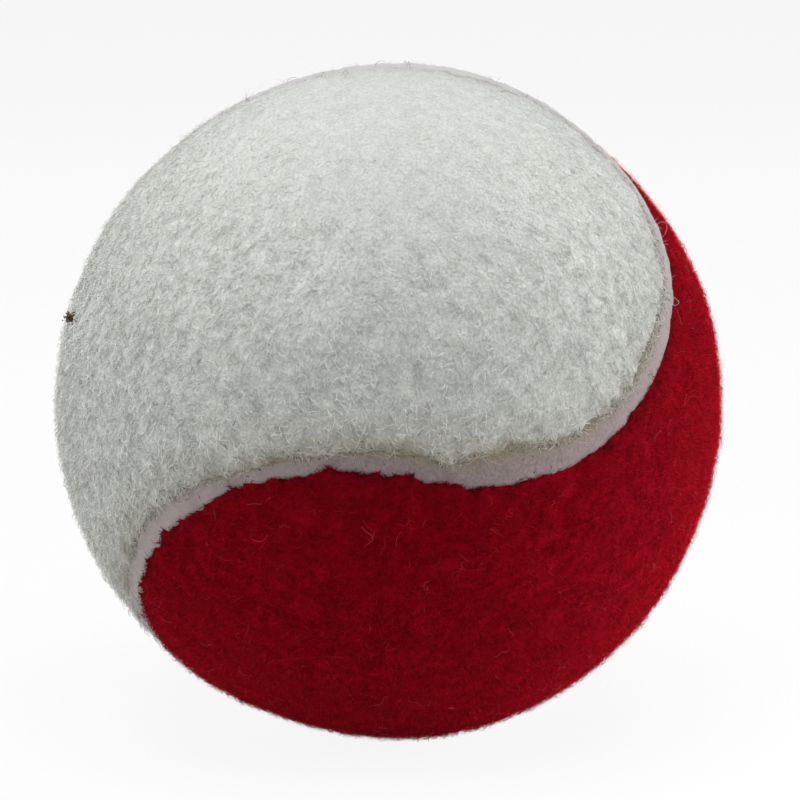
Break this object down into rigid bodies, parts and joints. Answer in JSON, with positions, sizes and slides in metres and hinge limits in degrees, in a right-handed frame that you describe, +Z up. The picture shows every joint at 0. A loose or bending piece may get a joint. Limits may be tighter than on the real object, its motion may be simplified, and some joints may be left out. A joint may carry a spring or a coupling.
{
  "type": "tennis ball",
  "caption": "Hollow rubber ball covered with interlocking dumbbell-shaped felt panels, white and red, joined by a curved rubber seam. Bounces and is hit in play.",
  "frame": {"origin": "centre of the ball", "axes": "+Z up and +X to the right as the ball lies in the picture, -Y towards the viewer; the seam crosses the Y and Z axes, the white panel's waist faces -X and the red panel's waist faces +X"},
  "size_m": [0.067, 0.067, 0.067],
  "materials": {
    "core_rubber": "matt moulded rubber",
    "cured_cement": "thin cured rubber cement",
    "seam_rubber": "matt vulcanised seam rubber, slightly dusty",
    "white_felt": "napped felt with short curled fibres",
    "red_felt": "napped felt with short curled fibres"
  },
  "bodies": {
    "root": {"core_upper_half": "core_rubber", "core_lower_half": "core_rubber", "core_bond_ring": "cured_cement", "white_panel_cement": "cured_cement", "red_panel_cement": "cured_cement", "seam_strip": "seam_rubber", "white_felt_panel": "white_felt", "red_felt_panel": "red_felt"}
  },
  "joints": []
}
